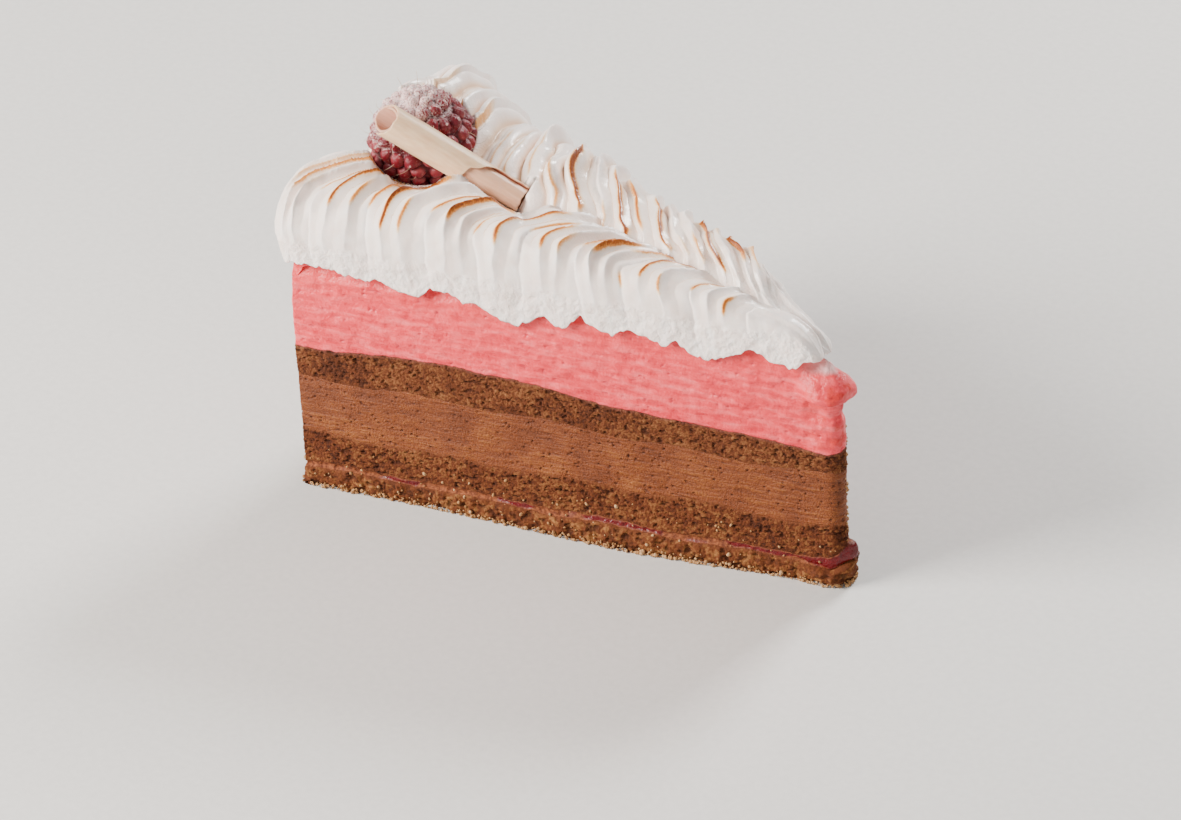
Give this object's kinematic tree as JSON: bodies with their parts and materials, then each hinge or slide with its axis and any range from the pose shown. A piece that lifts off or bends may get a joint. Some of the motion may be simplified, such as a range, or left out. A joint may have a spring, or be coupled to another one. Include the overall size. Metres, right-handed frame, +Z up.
{
  "type": "raspberry chocolate cake slice",
  "caption": "Wedge slice of layered chocolate sponge and raspberry mousse cake, topped with torched piped meringue, a raspberry and a white chocolate curl.",
  "frame": {"origin": "centre of the slice's bounding box on the surface that it stands on", "axes": "+X from the rim towards the tip of the wedge, +Z up, the first cut face on the -Y side"},
  "size_m": [0.1284, 0.0675, 0.082],
  "materials": {
    "biscuit_base": "baked chocolate biscuit crumb",
    "jam_layer": "glossy raspberry jam",
    "lower_sponge": "open crumb of chocolate sponge",
    "chocolate_mousse": "satin cut mousse",
    "upper_sponge": "open crumb of chocolate sponge",
    "raspberry_mousse": "satin cut mousse with fruit specks",
    "meringue": "glossy piped meringue, torched on the ridges",
    "raspberry": "fresh berry dusted with icing sugar",
    "chocolate_curl": "smooth white chocolate"
  },
  "bodies": {
    "root": {"biscuit_base": "biscuit_base", "jam_layer": "jam_layer", "lower_sponge": "lower_sponge", "chocolate_mousse": "chocolate_mousse", "upper_sponge": "upper_sponge", "raspberry_mousse": "raspberry_mousse", "meringue": "meringue", "raspberry": "raspberry", "chocolate_curl": "chocolate_curl"}
  },
  "joints": []
}
